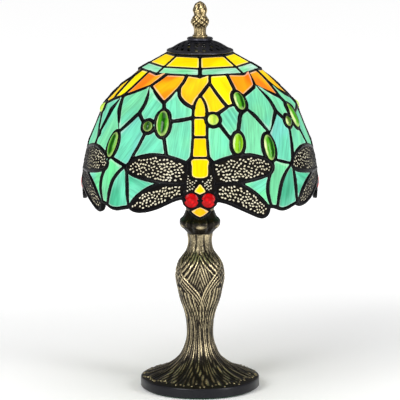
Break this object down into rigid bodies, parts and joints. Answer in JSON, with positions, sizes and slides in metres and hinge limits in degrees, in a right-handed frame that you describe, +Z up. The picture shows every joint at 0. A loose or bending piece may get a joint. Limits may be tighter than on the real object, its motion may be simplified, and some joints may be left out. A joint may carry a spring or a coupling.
{
  "type": "table lamp",
  "caption": "Table lamp with a leaded art glass dome shade on a cast tree-trunk base; the shade sits on a harp under a screwed finial, over an upright candelabra bulb.",
  "frame": {"origin": "centre of the foot's underside, on the table", "axes": "+Z up along the lamp's axis, the front of the lamp faces -Y, +X to the right"},
  "size_m": [0.2028, 0.2028, 0.3333],
  "materials": {
    "antique_casting": "antique brass relief over a near-black patina, satin",
    "antique_brass": "aged brass, dark in the recesses",
    "brass": "bright brass",
    "plated_steel": "zinc plated, satin",
    "chrome": "polished",
    "gunmetal": "dark gunmetal, satin",
    "black_solder": "black patina on solder beads, glossy",
    "yellow_glass": "opalescent, polished, slightly wavy",
    "gold_glass": "opalescent with red-orange streaks",
    "mint_glass": "opalescent with white wisps",
    "filigree_glass": "cream glass under a black pierced overlay",
    "phenolic": "black moulded",
    "white_plastic": "white moulded",
    "amber_emitters": "yellow light emitters in rows",
    "clear_cover": "clear, polished",
    "felt": "dark green felt",
    "rubber": "black"
  },
  "bodies": {
    "root": {"felt_pad": "felt", "trunk_casting": "antique_casting", "cord_grommet": "rubber", "lower_washer": "plated_steel", "lower_lock_nut": "plated_steel", "lamp_pipe": "plated_steel", "lobed_cup": "antique_casting", "neck_sleeve": "antique_casting", "harp_saddle": "plated_steel", "upper_lock_nut": "plated_steel", "harp_wire": "plated_steel", "shade_stud": "plated_steel", "socket_cup": "brass", "socket_housing": "phenolic", "socket_screw_shell": "brass", "socket_contact": "brass"},
    "seat": {"seat_washer": "plated_steel"},
    "shade": {"crown_glass_ring": "yellow_glass", "upper_solder_ring": "black_solder", "band_glass_ring": "mint_glass", "lower_solder_ring": "black_solder", "rim_solder_bead": "black_solder", "vented_cap": "gunmetal", "cap_collar": "gunmetal", "petal_panel_1": "gold_glass", "field_panel_1": "mint_glass", "dragonfly_body_1": "yellow_glass", "upper_wing_left_1": "filigree_glass", "upper_wing_right_1": "filigree_glass", "lower_wing_left_1": "filigree_glass", "lower_wing_right_1": "filigree_glass", "petal_panel_2": "gold_glass", "field_panel_2": "mint_glass", "dragonfly_body_2": "yellow_glass", "upper_wing_left_2": "filigree_glass", "upper_wing_right_2": "filigree_glass", "lower_wing_left_2": "filigree_glass", "lower_wing_right_2": "filigree_glass", "petal_panel_3": "gold_glass", "field_panel_3": "mint_glass", "dragonfly_body_3": "yellow_glass", "upper_wing_left_3": "filigree_glass", "upper_wing_right_3": "filigree_glass", "lower_wing_left_3": "filigree_glass", "lower_wing_right_3": "filigree_glass", "petal_panel_4": "gold_glass", "field_panel_4": "mint_glass", "dragonfly_body_4": "yellow_glass", "upper_wing_left_4": "filigree_glass", "upper_wing_right_4": "filigree_glass", "lower_wing_left_4": "filigree_glass", "lower_wing_right_4": "filigree_glass"},
    "finial": {"finial": "antique_brass"},
    "bulb": {"bulb_tip_contact": "plated_steel", "bulb_insulator": "phenolic", "bulb_screw_shell": "chrome", "bulb_collar": "white_plastic", "bulb_led_carrier": "amber_emitters", "bulb_cover": "clear_cover"}
  },
  "joints": [
    {"name": "shade_swivel", "type": "hinge", "parent": "root", "child": "seat", "pos_m": [0, 0, 0.2965], "axis": [0, 0, 1], "continuous": true},
    {"name": "shade_lift", "type": "slide", "parent": "seat", "child": "shade", "axis": [0, 0, 1], "range_m": [0, 0.155]},
    {"name": "finial_turn", "type": "hinge", "parent": "shade", "child": "finial", "pos_m": [0, 0, 0.3029], "axis": [0, 0, 1], "continuous": true},
    {"name": "bulb_turn", "type": "hinge", "parent": "root", "child": "bulb", "pos_m": [0, 0, 0.19], "axis": [0, 0, 1], "continuous": true}
  ]
}
